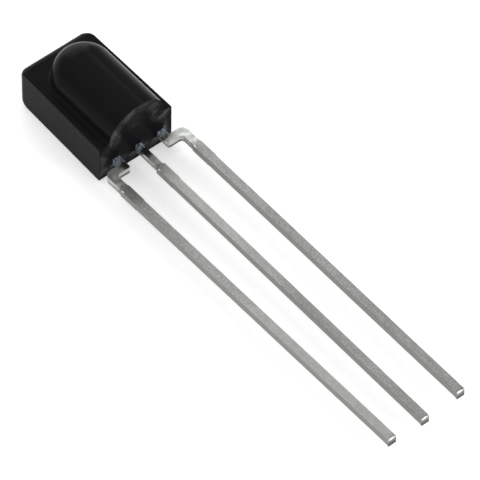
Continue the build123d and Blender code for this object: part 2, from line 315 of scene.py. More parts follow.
def tinned_steel(settings):
    """Stamped steel with tin plate: smooth and bright next to the resin, where nothing has rubbed it, and
    satin grey with a fine grain beyond the cut tie bar. A stamped side is smooth where the punch cut it and
    darker and rougher below, and that darker part takes over the whole side further out: partly the cut
    steel's own tone, partly painted shade for the dim floor that the sides reflect. The tips' rolled edges
    and the burrs carry a painted glint."""
    material, tree, shader, place = new_material("Tin plate on stamped steel")
    facing = add(tree, SEPARATE, [tree.nodes["Texture Coordinate"].outputs["Normal"]])
    at = add(tree, SEPARATE, [place])
    # patches about 0.8 mm across, and three times longer along the lead
    stretched = add(tree, "ShaderNodeMapping", {"Vector": place, "Scale": (1200.0, 350.0, 1200.0)})
    patches = add(tree, NOISE, {"Vector": stretched, "Scale": 1.0, "Detail": 4.0, "Roughness": 0.6})
    # ragged limits, 0.3 mm from tooth to tooth
    ragged = add(tree, NOISE, {"Vector": place, "Scale": 3300.0, "Detail": 2.0})
    wander = add(tree, RANGE, {"Value": ragged, "To Min": -RAGGED, "To Max": RAGGED})
    along = add(tree, MATH, [at.outputs["Y"], wander])
    # film of resin next to the casting, tin that ran smooth outside it, and bright tin up to the tie bar
    limits = []
    for reach in (settings.film_reach, settings.smooth_reach, settings.bright_reach):
        limit = LEAD_ROOTS.y - reach
        limits.append(add(
            tree, RANGE, {"Value": along, "From Min": limit - SOFTNESS, "From Max": limit + SOFTNESS}
        ))
    film, ran, bright = limits
    bright_end = LEAD_ROOTS.y - settings.bright_reach
    # each side darker on its lower part, and all over beyond the bright tin: partly the cut steel's own
    # tone, partly painted shade for the dim floor that the sides reflect
    level = add(tree, MATH, [wander, 0.15, at.outputs["Z"]], operation="MULTIPLY_ADD")
    lower_band = add(
        tree, RANGE,
        {"Value": level, "From Min": LEAD_ROOTS.z - 0.10 * MM, "From Max": LEAD_ROOTS.z - 0.02 * MM,
         "To Min": 1.0, "To Max": 0.0},
    )
    dull = add(tree, MATH, [1.0, bright], operation="SUBTRACT")
    torn_and_shaded = add(tree, MATH, [lower_band, dull], operation="MAXIMUM")
    upright = add(tree, MATH, [facing.outputs["Z"]], operation="ABSOLUTE")
    side = add(
        tree, RANGE, {"Value": upright, "From Min": 0.35, "From Max": 0.75, "To Min": 1.0, "To Max": 0.0}
    )
    torn_and_shaded = add(tree, MATH, [torn_and_shaded, side], operation="MULTIPLY")

    # satin tin, in patches
    spread = add(tree, RANGE, {"Value": patches, "From Min": 0.38, "From Max": 0.66})
    tone = add(
        tree, MIX,
        {"Factor": spread, "A": [*settings.tin, 1.0], "B": [*settings.dull_tin, 1.0]}, data_type="RGBA",
    )
    # crystals of the plate 0.1 mm apart, coarser than the real ones so that they show
    crystals = add(tree, NOISE, {"Vector": place, "Scale": 10000.0, "Detail": 3.0})
    speckle = add(
        tree, RANGE, {"Value": crystals, "From Min": 0.35, "From Max": 0.65, "To Min": 0.82, "To Max": 1.16}
    )
    tone = add(
        tree, MIX,
        {"Factor": 1.0, "A": tone.outputs["Result"], "B": speckle}, data_type="RGBA", blend_type="MULTIPLY",
    )
    # the middle lead's dull tin is cleaner near the tie bar, where its neighbours shield it
    across = add(tree, MATH, [at.outputs["X"], LEAD_ROOTS.x], operation="SUBTRACT")
    across = add(tree, MATH, [across], operation="ABSOLUTE")
    shielded = add(
        tree, RANGE,
        {"Value": across, "From Min": 0.5 * MM, "From Max": 1 * MM, "To Min": 0.30, "To Max": 0.0},
    )
    clean = add(
        tree, RANGE,
        {"Value": at.outputs["Y"], "From Min": bright_end - settings.clean_reach,
         "From Max": bright_end - settings.clean_reach / 2, "To Max": shielded},
    )
    # the outer half of the -X lead is rubbed clean too
    rubbed = add(
        tree, RANGE,
        {"Value": at.outputs["Y"], "From Min": bright_end - RUBBED_FULL,
         "From Max": bright_end - RUBBED_FROM, "To Min": settings.rubbed, "To Max": 0.0},
    )
    outer = add(tree, MATH, [at.outputs["X"], LEAD_ROOTS.x - settings.neck_side / 2], operation="LESS_THAN")
    rubbed = add(tree, MATH, [rubbed, outer], operation="MULTIPLY")
    clean = add(tree, MATH, [clean, rubbed], operation="MAXIMUM")
    clean = add(tree, MATH, [clean, bright], operation="MAXIMUM")
    # a tip's end was cut in its upper half and broke off below
    end = add(
        tree, RANGE,
        {"Value": facing.outputs["Y"], "From Min": -0.95, "From Max": -0.7, "To Min": 1.0, "To Max": 0.0},
    )
    broken = add(tree, MATH, [lower_band, end], operation="MULTIPLY")
    # painted glint: the tips' rolled edges and the burrs get a bright metal tone, partly the cut metal's
    # own tone, partly a painted highlight
    smear_and_painted_glint = add(tree, "ShaderNodeAttribute", attribute_name="smear_and_painted_glint").outputs["Fac"]
    # crazing of the film, 0.14 mm from crack to crack
    crazing = add(tree, NOISE, {"Vector": place, "Scale": 7000.0, "Detail": 2.0})
    crazed = add(tree, RANGE, {"Value": crazing, "From Min": 0.42, "From Max": 0.60})
    film_tone = add(
        tree, MIX,
        {"Factor": crazed, "A": [*settings.film, 1.0], "B": [*settings.pale_film, 1.0]}, data_type="RGBA",
    )
    # layers of tone, each over those before it, and below the same for the roughness
    for share, laid_over in (
        (clean, [*settings.bright_tin, 1.0]), (torn_and_shaded, [*settings.sheared, 1.0]),
        (broken, [*settings.broken, 1.0]), (smear_and_painted_glint, [*settings.bare, 1.0]),
        (film, film_tone.outputs["Result"]),
    ):
        tone = add(
            tree, MIX, {"Factor": share, "A": tone.outputs["Result"], "B": laid_over}, data_type="RGBA"
        )
    tree.links.new(tone.outputs["Result"], shader.inputs["Base Color"])
    metal = add(tree, RANGE, {"Value": film, "To Min": 1.0, "To Max": 0.2})
    tree.links.new(metal.outputs[0], shader.inputs["Metallic"])
    satin = add(tree, RANGE, {"Value": patches, "To Min": 0.30, "To Max": 0.44})
    # flow marks of the molten tin, about 0.8 mm across
    flow = add(tree, NOISE, {"Vector": place, "Scale": 1250.0, "Detail": 1.0})
    glaze = add(
        tree, RANGE, {"Value": flow, "From Min": 0.35, "From Max": 0.65, "To Min": 0.38, "To Max": 0.58}
    )
    # smooth tin mirrors the casting, but only on the necks
    in_neck = add(
        tree, RANGE,
        {"Value": across, "From Min": settings.neck_side - 0.25 * MM,
         "From Max": settings.neck_side + 0.05 * MM, "To Min": 1.0, "To Max": 0.0},
    )
    ran = add(tree, MATH, [ran, in_neck], operation="MULTIPLY")
    glaze = add(tree, RANGE, {"Value": ran, "To Min": glaze, "To Max": 0.24})
    rough = satin
    for share, laid_over in ((bright, glaze), (torn_and_shaded, 0.55), (film, 0.5), (smear_and_painted_glint, 0.22)):
        rough = add(tree, RANGE, {"Value": share, "To Min": rough, "To Max": laid_over})
    tree.links.new(rough.outputs[0], shader.inputs["Roughness"])
    # drawing lines 0.06 mm apart along the lead, drawn coarser than the real ones so that they show
    lines_at = add(tree, "ShaderNodeMapping", {"Vector": place, "Scale": (16000.0, 700.0, 16000.0)})
    lines = add(tree, NOISE, {"Vector": lines_at, "Scale": 1.0, "Detail": 2.0})
    line_depth = add(tree, RANGE, {"Value": dull, "To Min": 0.06, "To Max": 0.25})
    crystal_depth = add(tree, RANGE, {"Value": dull, "To Min": 0.10, "To Max": 0.60})
    flow_depth = add(tree, RANGE, {"Value": bright, "To Min": 0.1, "To Max": 0.9})
    flow_bump = add(tree, "ShaderNodeBump", {"Strength": flow_depth, "Distance": 0.00012, "Height": flow})
    line_bump = add(
        tree, "ShaderNodeBump",
        {"Strength": line_depth, "Distance": 0.00001, "Height": lines, "Normal": flow_bump},
    )
    bump = add(
        tree, "ShaderNodeBump",
        {"Strength": crystal_depth, "Distance": 0.00001, "Height": crystals, "Normal": line_bump},
    )
    tree.links.new(bump.outputs[0], shader.inputs["Normal"])
    return material


def polished_silicon():
    """Silicon die, polished and coated: dark blue-grey and smooth, with the faint tiles of its circuit."""
    material, tree, shader, place = new_material("Polished silicon")
    shader.inputs["Roughness"].default_value = 0.12
    shader.inputs["Metallic"].default_value = 0.35
    # circuit blocks about 0.12 mm across
    blocks = add(tree, "ShaderNodeTexVoronoi", {"Vector": place, "Scale": 8000.0}, distance="CHEBYCHEV")
    two_tones(tree, shader, blocks, linear("#39434F"), linear("#56606A"))
    return material


def silver_adhesive():
    """Cured silver-filled adhesive: dull pale grey with a sugary grain."""
    material, tree, shader, place = new_material("Silver-filled adhesive")
    shader.inputs["Roughness"].default_value = 0.6
    shader.inputs["Metallic"].default_value = 0.6
    # silver flakes about 0.02 mm across
    flakes = add(tree, "ShaderNodeTexVoronoi", {"Vector": place, "Scale": 50000.0})
    two_tones(tree, shader, flakes, linear("#A5A5A3"), linear("#C4C4C0"))
    return material


def drawn_gold():
    """Gold bond wire, drawn: warm bright metal with faint lengthwise dulling."""
    material, tree, shader, place = new_material("Drawn gold")
    shader.inputs["Metallic"].default_value = 1.0
    # dull spots about 0.05 mm across
    spots = add(tree, NOISE, {"Vector": place, "Scale": 20000.0})
    rough = add(tree, RANGE, {"Value": spots, "To Min": 0.18, "To Max": 0.34})
    tree.links.new(rough.outputs[0], shader.inputs["Roughness"])
    two_tones(tree, shader, spots, linear("#E2B663"), linear("#D3A24E"))
    return material


# --- casting --------------------------------------------------------------------------------
LENS_ROWS = 80       # mesh rows from the lens's crest down to the ledge
BLOCK_ROWS = 56      # round the ledge edge, down the flank and round the back edge
BACK_ROWS = 20       # across half the back
COLUMNS = 321        # along the body, round the domed end and back
RINGS = 60           # from the underside's edge to its middle
SUPPORT = 1.25       # an edge's rows start this many radii from it
ROUNDING = 48        # points on each rounded corner of a line
DEEPEST_INSET = 0.98  # of the corner radius, so that rows don't cross at the corner's centre
BLEND_REACH = 1.6    # corner radii from the domed end, where its edge radius starts to grow
CENTRE_SHARE = 0.72  # of the thickness: height of the underside's middle
ROOT_SPARE = 0.03 * MM       # ledge that the lens's rows take in, past its fillet
BACK_CLEAR = 1.2 * MM        # the back's middle line stops this far from the domed end
COLLAPSE = 0.00001 * MM      # an edge shorter than this is closed up
CRISP = math.radians(40)     # an edge that turns more than this stays sharp


def rounded_line(tree, corners, radii):
    """A line through corners, each three numbers or sockets, rounded by the radius given for each."""
    line = add(tree, "GeometryNodeMeshLine", {"Count": len(corners)})
    path = add(tree, "GeometryNodeMeshToCurve", {"Mesh": line})
    index = add(tree, "GeometryNodeInputIndex")
    places = add(tree, "GeometryNodeIndexSwitch", {"Index": index}, data_type="VECTOR")
    turns = add(tree, "GeometryNodeIndexSwitch", {"Index": index}, data_type="FLOAT")
    for number, (corner, radius) in enumerate(zip(corners, radii)):
        if number > 1:
            places.index_switch_items.new()
            turns.index_switch_items.new()
        point = add(tree, COMBINE, corner)
        tree.links.new(point.outputs[0], places.inputs[str(number)])
        if isinstance(radius, bpy.types.NodeSocket):
            tree.links.new(radius, turns.inputs[str(number)])
        else:
            turns.inputs[str(number)].default_value = radius
    placed = add(tree, "GeometryNodeSetPosition", {"Geometry": path, "Position": places})
    return add(
        tree, "GeometryNodeFilletCurve", {"Curve": placed, "Count": ROUNDING, "Radius": turns}, mode="POLY"
    ).outputs[0]


def casting_skin(tree, given, tilt, overhang):
    """The casting's skin, open at the lead end.

    A grid is laid from the lens's crest, down its wall, over the ledge, the flank and the back, and runs
    up one side, round the domed end and down the other.
    """
    lens_top = add(tree, MATH, [given["Thickness"], given["Lens Rise"]])
    crest = add(tree, MATH, [lens_top, given["Lens Radius"]])
    root_foot = add(tree, MATH, [given["Lens Radius"], given["Lens Root Radius"]])
    root_edge = add(tree, MATH, [root_foot, ROOT_SPARE])
    minus_radius = add(tree, MATH, [0.0, given["Lens Radius"]], operation="SUBTRACT")
    dome_top = add(tree, MATH, [given["Dome Centre"], given["Lens Radius"]])

    # lines that the grid follows: the lens's section, its plan, the block's plan, and an edge's section
    lens_section = rounded_line(
        tree,
        [(0.0, 0.0, crest), (given["Lens Radius"], 0.0, crest),
         (given["Lens Radius"], 0.0, given["Thickness"]), (root_edge, 0.0, given["Thickness"])],
        [0.0, given["Lens Radius"], given["Lens Root Radius"], 0.0],
    )
    lens_plan = rounded_line(
        tree,
        [(minus_radius, given["Lead End"], 0.0), (minus_radius, dome_top, 0.0),
         (given["Lens Radius"], dome_top, 0.0), (given["Lens Radius"], given["Lead End"], 0.0)],
        [0.0, given["Lens Radius"], given["Lens Radius"], 0.0],
    )
    wide, narrow = (
        add(tree, MATH, [given["Draft"], given[end], given["Back Half Width"]], operation="MULTIPLY_ADD")
        for end in ("Lead End", "Domed End")
    )
    minus_wide, minus_narrow = (
        add(tree, MATH, [0.0, half_width], operation="SUBTRACT") for half_width in (wide, narrow)
    )
    block_plan = rounded_line(
        tree,
        [(minus_wide, given["Lead End"], 0.0), (minus_narrow, given["Domed End"], 0.0),
         (narrow, given["Domed End"], 0.0), (wide, given["Lead End"], 0.0)],
        [0.0, given["Corner Radius"], given["Corner Radius"], 0.0],
    )
    # x: inset in edge radii, y: height in edge radii, z: height in thicknesses
    block_section = rounded_line(
        tree,
        [(SUPPORT, 0.0, 1.0), (0.0, 0.0, 1.0), (0.0, -SUPPORT, 1.0),
         (0.0, SUPPORT, 0.0), (0.0, 0.0, 0.0), (SUPPORT, 0.0, 0.0)],
        [0.0, 1.0, 0.0, 0.0, 1.0, 0.0],
    )

    # grid, and how far along each line a point of it is
    rows = LENS_ROWS + BLOCK_ROWS + BACK_ROWS
    grid = add(
        tree, "GeometryNodeMeshGrid",
        {"Size X": 1.0, "Size Y": 1.0, "Vertices X": COLUMNS, "Vertices Y": rows},
    )
    place = add(tree, SEPARATE, [add(tree, "GeometryNodeInputPosition")])
    along = add(tree, MATH, [place.outputs["X"], 0.5])
    row = add(tree, MATH, [place.outputs["Y"], rows - 1, (rows - 1) / 2], operation="MULTIPLY_ADD")
    lens_share = add(tree, RANGE, {"Value": row, "From Max": LENS_ROWS - 1})
    block_share = add(
        tree, RANGE, {"Value": row, "From Min": LENS_ROWS, "From Max": LENS_ROWS + BLOCK_ROWS - 1}
    )
    back_share = add(
        tree, RANGE, {"Value": row, "From Min": LENS_ROWS + BLOCK_ROWS - 1, "From Max": rows - 1}
    )
    up = (0.0, 0.0, 1.0)

    # lens: in from its plan by what its section leaves
    section = add(
        tree, "GeometryNodeSampleCurve", {"Curves": lens_section, "Factor": lens_share}, mode="FACTOR"
    )
    section = add(tree, SEPARATE, [section.outputs["Position"]])
    plan = add(tree, "GeometryNodeSampleCurve", {"Curves": lens_plan, "Factor": along}, mode="FACTOR")
    outward = add(tree, VECTOR, [up, plan.outputs["Tangent"]], operation="CROSS_PRODUCT")
    step_out = add(tree, MATH, [section.outputs["X"], given["Lens Radius"]], operation="SUBTRACT")
    lens_point = add(tree, VECTOR, {0: outward, 3: step_out}, operation="SCALE")
    lens_point = add(tree, VECTOR, [lens_point, plan.outputs["Position"]])
    lens_height = add(tree, COMBINE, {"Z": section.outputs["Z"]})
    lens_point = add(tree, VECTOR, [lens_point, lens_height])
    # the first row is the crest, which ends at the dome's centre
    lens_plan_at = add(tree, SEPARATE, [plan.outputs["Position"]])
    crest_y = add(tree, MATH, [lens_plan_at.outputs["Y"], given["Dome Centre"]], operation="MINIMUM")
    crest_point = add(tree, COMBINE, {"Y": crest_y, "Z": crest})
    on_crest = add(tree, "FunctionNodeCompare", [row, 0.5], data_type="FLOAT", operation="LESS_THAN")
    lens_point = add(
        tree, "GeometryNodeSwitch",
        {"Switch": on_crest, "False": lens_point, "True": crest_point}, input_type="VECTOR",
    )

    # block: in from its plan by the edge's section, whose radius grows towards the domed end
    plan = add(tree, "GeometryNodeSampleCurve", {"Curves": block_plan, "Factor": along}, mode="FACTOR")
    outward = add(tree, VECTOR, [up, plan.outputs["Tangent"]], operation="CROSS_PRODUCT")
    outward = add(tree, VECTOR, [outward], operation="NORMALIZE")
    plan_at = add(tree, SEPARATE, [plan.outputs["Position"]])
    blend_start = add(
        tree, MATH, [given["Corner Radius"], -BLEND_REACH, given["Domed End"]], operation="MULTIPLY_ADD"
    )
    section = add(
        tree, "GeometryNodeSampleCurve", {"Curves": block_section, "Factor": block_share}, mode="FACTOR"
    )
    section = add(tree, SEPARATE, [section.outputs["Position"]])
    long_edge = add(
        tree, RANGE,
        {"Value": section.outputs["Z"], "To Min": given["Back Edge Radius"],
         "To Max": given["Front Edge Radius"]},
    )
    edge_radius = add(
        tree, RANGE,
        {"Value": plan_at.outputs["Y"], "From Min": blend_start, "From Max": given["Domed End"],
         "To Min": long_edge.outputs[0], "To Max": given["End Edge Radius"]},
        interpolation_type="SMOOTHSTEP",
    )
    flat_height = add(tree, MATH, [section.outputs["Z"], given["Thickness"]], operation="MULTIPLY")
    height = add(tree, MATH, [section.outputs["Y"], edge_radius, flat_height], operation="MULTIPLY_ADD")
    lean_in = add(tree, MATH, [height, given["Lean"]], operation="MULTIPLY")
    side_share = add(tree, SEPARATE, [outward])
    lean_x = add(tree, MATH, [side_share.outputs["X"], lean_in], operation="MULTIPLY")
    leaned = add(tree, MATH, [plan_at.outputs["X"], lean_x], operation="SUBTRACT")
    leaned = add(tree, MATH, [plan_at.outputs["Y"], given["Skew"], leaned], operation="MULTIPLY_ADD")
    # the rows stop short of the corner's centre, so that they don't cross there
    deepest = add(tree, MATH, [given["Corner Radius"], DEEPEST_INSET], operation="MULTIPLY")
    inset = add(tree, MATH, [section.outputs["X"], edge_radius], operation="MULTIPLY")
    inset = add(tree, MATH, [inset, deepest], operation="MINIMUM")
    inset = add(tree, MATH, [inset, -1.0], operation="MULTIPLY")
    inwards = add(tree, VECTOR, {0: outward, 3: inset}, operation="SCALE")
    block_point = add(tree, COMBINE, {"X": leaned, "Y": plan_at.outputs["Y"], "Z": height})
    block_point = add(tree, VECTOR, [block_point, inwards])
    # no point lies past the open end, so that the rings meet it
    inset_at = add(tree, SEPARATE, [block_point])
    inset_y = add(tree, MATH, [inset_at.outputs["Y"], given["Lead End"]], operation="MAXIMUM")
    block_point = add(tree, COMBINE, {"X": inset_at.outputs["X"], "Y": inset_y, "Z": inset_at.outputs["Z"]})

    # back: from there to the middle line
    back_limit = add(tree, MATH, [given["Domed End"], BACK_CLEAR], operation="SUBTRACT")
    middle_y = add(tree, MATH, [plan_at.outputs["Y"], back_limit], operation="MINIMUM")
    middle = add(tree, COMBINE, {"Y": middle_y})
    block_point = add(tree, MIX, {"Factor": back_share, 4: block_point, 5: middle}, data_type="VECTOR")
    in_lens = add(
        tree, "FunctionNodeCompare", [row, LENS_ROWS - 0.5], data_type="FLOAT", operation="LESS_THAN"
    )
    point = add(
        tree, "GeometryNodeSwitch",
        {"Switch": in_lens, "False": block_point.outputs[1], "True": lens_point}, input_type="VECTOR",
    )

    # tilt of the open end, which fades out towards the dome
    point_at = add(tree, SEPARATE, [point])
    fade = add(
        tree, RANGE,
        {"Value": point_at.outputs["Y"], "From Min": given["Lead End"], "From Max": given["Dome Centre"],
         "To Min": 1.0, "To Max": 0.0},
    )
    drop = add(tree, MATH, [point_at.outputs["Z"], tilt], operation="MULTIPLY")
    above = add(tree, MATH, [point_at.outputs["Z"], given["Thickness"]], operation="SUBTRACT")
    above = add(tree, MATH, [above, 0.0], operation="MAXIMUM")
    drop = add(tree, MATH, [above, overhang, drop], operation="MULTIPLY_ADD")
    drop = add(tree, MATH, [drop, fade], operation="MULTIPLY")
    drop = add(tree, MATH, [drop, -1.0], operation="MULTIPLY")
    drop = add(tree, COMBINE, {"Y": drop})
    point = add(tree, VECTOR, [point, drop])
    skin = add(tree, "GeometryNodeSetPosition", {"Geometry": grid, "Position": point})
    return add(tree, "GeometryNodeMergeByDistance", {"Geometry": skin, "Distance": MERGE})


def casting_underside(tree, given, tilt, overhang, skin):
    """The resin's free surface, as rings drawn in from the skin's open end."""
    neighbours = add(tree, "GeometryNodeInputMeshEdgeNeighbors")
    open_edge = add(tree, "FunctionNodeCompare", {2: neighbours, 3: 1}, data_type="INT", operation="EQUAL")
    mouth = add(
        tree, "GeometryNodeSeparateGeometry", {"Geometry": skin, "Selection": open_edge}, domain="EDGE"
    )
    centre_z = add(tree, MATH, [given["Thickness"], CENTRE_SHARE], operation="MULTIPLY")
    centre = add(tree, COMBINE, {"Y": given["Lead End"], "Z": centre_z})
    start = add(tree, "GeometryNodeRepeatInput")
    end = add(tree, "GeometryNodeRepeatOutput")
    start.pair_with_output(end)
    end.repeat_items.new("BOOLEAN", "Ring")
    start.inputs["Iterations"].default_value = RINGS
    start.inputs["Ring"].default_value = True
    tree.links.new(mouth.outputs[0], start.inputs["Geometry"])
    grown = add(
        tree, "GeometryNodeExtrudeMesh",
        {"Mesh": start.outputs["Geometry"], "Selection": start.outputs["Ring"], "Offset Scale": 0.0},
        mode="EDGES",
    )
    left = add(tree, MATH, [RINGS, start.outputs["Iteration"]], operation="SUBTRACT")
    left_after = add(tree, MATH, [left, 1.0], operation="SUBTRACT")
    shrink = add(tree, MATH, [left_after, left], operation="DIVIDE")
    here = add(tree, "GeometryNodeInputPosition")
    ring_point = add(tree, MIX, {"Factor": shrink, 4: centre, 5: here}, data_type="VECTOR")
    grown_placed = add(
        tree, "GeometryNodeSetPosition",
        {"Geometry": grown.outputs["Mesh"], "Selection": grown.outputs["Top"],
         "Position": ring_point.outputs[1]},
    )
    tree.links.new(grown_placed.outputs[0], end.inputs["Geometry"])
    tree.links.new(grown.outputs["Top"], end.inputs["Ring"])

    # rim: as far out as the skin's open end
    at = add(tree, SEPARATE, [add(tree, "GeometryNodeInputPosition")])
    above = add(tree, MATH, [at.outputs["Z"], given["Thickness"]], operation="SUBTRACT")
    above = add(tree, MATH, [above, 0.0], operation="MAXIMUM")
    out = add(tree, MATH, [at.outputs["Z"], tilt], operation="MULTIPLY")
    out = add(tree, MATH, [above, overhang, out], operation="MULTIPLY_ADD")
    rim = add(tree, MATH, [given["Lead End"], out], operation="SUBTRACT")

    # dish: sunk in the middle, and faintly uneven
    uneven = add(tree, NOISE, {"Scale": 1700.0, "Detail": 1.0})
    ripple = add(tree, RANGE, {"Value": uneven, "To Min": -0.02 * MM, "To Max": 0.02 * MM})
    depth = add(tree, MATH, [given["Dish Depth"], ripple])

    # collars: the resin climbs each lead, by less and less away from it
    across = add(tree, MATH, [at.outputs["X"], given["Frame Offset"]], operation="SUBTRACT")
    nearest = add(tree, MATH, [across, given["Neck Pitch"]], operation="DIVIDE")
    nearest = add(tree, MATH, [nearest], operation="ROUND")
    nearest = add(tree, MATH, [nearest, given["Neck Pitch"]], operation="MULTIPLY")
    beside = add(tree, MATH, [across, nearest], operation="SUBTRACT")
    over = add(tree, MATH, [at.outputs["Z"], given["Sheet Height"]], operation="SUBTRACT")
    gaps = []
    for offset, half_size in ((beside, given["Neck Half Width"]), (over, given["Sheet Half Thickness"])):
        gap = add(tree, MATH, [offset], operation="ABSOLUTE")
        gap = add(tree, MATH, [gap, half_size], operation="SUBTRACT")
        gaps.append(add(tree, MATH, [gap, 0.0], operation="MAXIMUM"))
    from_lead = add(tree, COMBINE, {"X": gaps[0], "Z": gaps[1]})
    from_lead = add(tree, VECTOR, [from_lead], operation="LENGTH")
    reaches = add(tree, MATH, [from_lead.outputs["Value"], given["Collar Reach"]], operation="DIVIDE")
    reaches = add(tree, MATH, [reaches, -1.0], operation="MULTIPLY")
    climb = add(tree, MATH, [reaches], operation="EXPONENT")
    climb = add(tree, MATH, [climb, given["Collar Height"]], operation="MULTIPLY")
    depth = add(tree, MATH, [depth, climb], operation="SUBTRACT")
    dish = add(tree, MATH, [rim, depth])

    # slope between them, steepest at the rim and unevenly wide
    from_rim = add(tree, "GeometryNodeProximity", [mouth.outputs[0]], target_element="EDGES")
    wander = add(tree, NOISE, {"Scale": 900.0, "Detail": 2.0})
    wander = add(tree, MATH, [wander, 0.5], operation="SUBTRACT")
    slope_end = add(tree, MATH, [wander, given["Rim Wander"], given["Rim Width"]], operation="MULTIPLY_ADD")
    inside = add(
        tree, RANGE, {"Value": from_rim.outputs["Distance"], "From Min": 0.03 * MM, "From Max": slope_end}
    )
    easing = add(tree, MATH, [2.0, inside], operation="SUBTRACT")
    inside = add(tree, MATH, [inside, easing], operation="MULTIPLY")
    level = add(tree, MIX, {"Factor": inside, "A": rim, "B": dish})
    surface = add(tree, COMBINE, {"X": at.outputs["X"], "Y": level, "Z": at.outputs["Z"]})
    # smooth band inside the rim, for the material: it grows from the rim to its peak and fades further in
    growing = add(
        tree, RANGE,
        {"Value": from_rim.outputs["Distance"], "From Max": given["Film Peak"], "To Min": 0.25},
        interpolation_type="SMOOTHSTEP",
    )
    fading = add(
        tree, RANGE,
        {"Value": from_rim.outputs["Distance"], "From Min": given["Film Peak"],
         "From Max": given["Film Reach"], "To Min": 1.0, "To Max": 0.0}, interpolation_type="SMOOTHSTEP",
    )
    smoothed = add(tree, MATH, [growing, fading], operation="MULTIPLY")
    filmed = add(
        tree, "GeometryNodeStoreNamedAttribute",
        {"Geometry": end.outputs["Geometry"], "Name": "smooth_band", "Value": smoothed}, data_type="FLOAT",
    )
    return add(tree, "GeometryNodeSetPosition", {"Geometry": filmed, "Position": surface})


def casting_tree(material, names):
    """The cast body as one closed skin, from inputs with these names."""
    tree = bpy.data.node_groups.new("Casting", "GeometryNodeTree")
    for name in names:
        tree.interface.new_socket(name=name, in_out="INPUT", socket_type="NodeSocketFloat")
    tree.interface.new_socket(name="Geometry", in_out="OUTPUT", socket_type="NodeSocketGeometry")
    given = add(tree, "NodeGroupInput").outputs
    tilt = add(tree, MATH, [given["Underside Tilt"]], operation="TANGENT")
    overhang = add(tree, MATH, [given["Lens Overhang"]], operation="TANGENT")
    skin = casting_skin(tree, given, tilt, overhang)
    underside = casting_underside(tree, given, tilt, overhang, skin)
    whole = add(tree, "GeometryNodeJoinGeometry")
    tree.links.new(underside.outputs[0], whole.inputs[0])
    tree.links.new(skin.outputs[0], whole.inputs[0])
    whole = add(tree, "GeometryNodeMergeByDistance", {"Geometry": whole, "Distance": MERGE})
    smooth = add(
        tree, "GeometryNodeSetShadeSmooth", {"Geometry": whole, "Shade Smooth": True}, domain="FACE"
    )
    turn = add(tree, "GeometryNodeInputMeshEdgeAngle")
    crisp = add(
        tree, "FunctionNodeCompare",
        [turn.outputs["Unsigned Angle"], CRISP], data_type="FLOAT", operation="GREATER_THAN",
    )
    smooth = add(
        tree, "GeometryNodeSetShadeSmooth",
        {"Geometry": smooth, "Selection": crisp, "Shade Smooth": False}, domain="EDGE",
    )
    real = add(tree, "GeometryNodeRealizeInstances", {"Geometry": smooth})
    coated = add(tree, "GeometryNodeSetMaterial", {"Geometry": real, "Material": material})
    add(tree, "NodeGroupOutput", {"Geometry": coated})
    return tree


def made_by(tree, name, values):
    """The mesh that a Geometry Nodes tree gives, as a plain object. values are by input name."""
    holder = new_object(name + "_holder", bpy.data.meshes.new(name + "_holder"))
    modifier = holder.modifiers.new("Build", "NODES")
    modifier.node_group = tree
    for item in tree.interface.items_tree:
        if item.in_out == "INPUT" and item.name in values:
            modifier[item.identifier] = values[item.name]
    evaluated = holder.evaluated_get(bpy.context.evaluated_depsgraph_get())
    mesh = bpy.data.meshes.new_from_object(evaluated)
    mesh.name = name
    bpy.data.objects.remove(holder)
    return new_object(name, mesh)


class RECEIVER_OT_casting(bpy.types.Operator):
    """Make the cast epoxy body"""

    bl_idname = "receiver.casting"
    bl_label = "Casting"

    def execute(self, context):
        sizes = context.scene.receiver_casting
        material = cast_epoxy(sizes)
        half_back = sizes.back_width / 2
        values = {name.replace("_", " ").title(): getattr(sizes, name) for name in (
            "thickness", "corner_radius", "end_edge_radius", "front_edge_radius", "back_edge_radius",
            "lens_radius", "lens_rise", "lens_root_radius", "underside_tilt", "lens_overhang",
            "rim_width", "rim_wander", "film_peak", "film_reach", "dish_depth",
            "neck_pitch", "collar_height", "collar_reach",
        )}
        values.update({
            "Lead End": LEAD_ROOTS.y,
            "Domed End": DOMED_END,
            "Dome Centre": LEAD_ROOTS.y + sizes.dome_height,
            "Back Half Width": half_back,
            "Lean": (half_back - sizes.front_width / 2) / sizes.thickness,
            "Draft": -math.tan(sizes.side_draft),
            "Skew": math.tan(sizes.skew),
            "Frame Offset": LEAD_ROOTS.x,
            "Neck Half Width": sizes.neck_width / 2,
            "Sheet Height": LEAD_ROOTS.z,
            "Sheet Half Thickness": (SHEET_HIGH.z - SHEET_LOW.z) / 2,
        })
        piece = made_by(casting_tree(material, values), "cast_body", values)
        if not piece.data.polygons:
            raise RuntimeError("the casting came out empty")
        form = bmesh.new()
        form.from_mesh(piece.data)
        bmesh.ops.dissolve_degenerate(form, dist=COLLAPSE, edges=form.edges)
        bmesh.ops.recalc_face_normals(form, faces=form.faces)
        open_edges = sum(1 for edge in form.edges if not edge.is_manifold)
        if open_edges:
            print(f"cast_body has {open_edges} open edges")
        form.to_mesh(piece.data)
        form.free()
        wear_material(piece, material)
        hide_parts("package_body")
        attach(piece, "root")
        return {"FINISHED"}


# --- leads ------------------------------------------------------------------------------------
CUT = 0.001 * MM             # how near a cutting plane passes a point before it uses it
GLINT_SPLIT = 0.05 * MM      # how far past a tip's middle the painted glint stays strong
WEAK_GLINT = 0.45            # the share of the painted glint beyond that
STUB_LENGTH = 0.8 * MM       # searched on each side of the burr for the stub's side


def fill_shank(form, sizes, shank_y, tip_y, stray):
    """Add the tin to the shank's sides and underside, drag its tip's lower edge down and let it stray."""
    for vert in form.verts:
        if vert.co.y < shank_y + NEAR:
            vert.co.x += math.copysign(sizes.tin_depth, sum(face.normal.x for face in vert.link_faces))
            vert.co.x += stray * (shank_y - vert.co.y) / (shank_y - tip_y)
            if vert.co.z < LEAD_ROOTS.z:
                vert.co.z -= sizes.tin_depth
        if vert.co.y < tip_y + NEAR and vert.co.z < LEAD_ROOTS.z:
            vert.co.z -= sizes.tip_drag


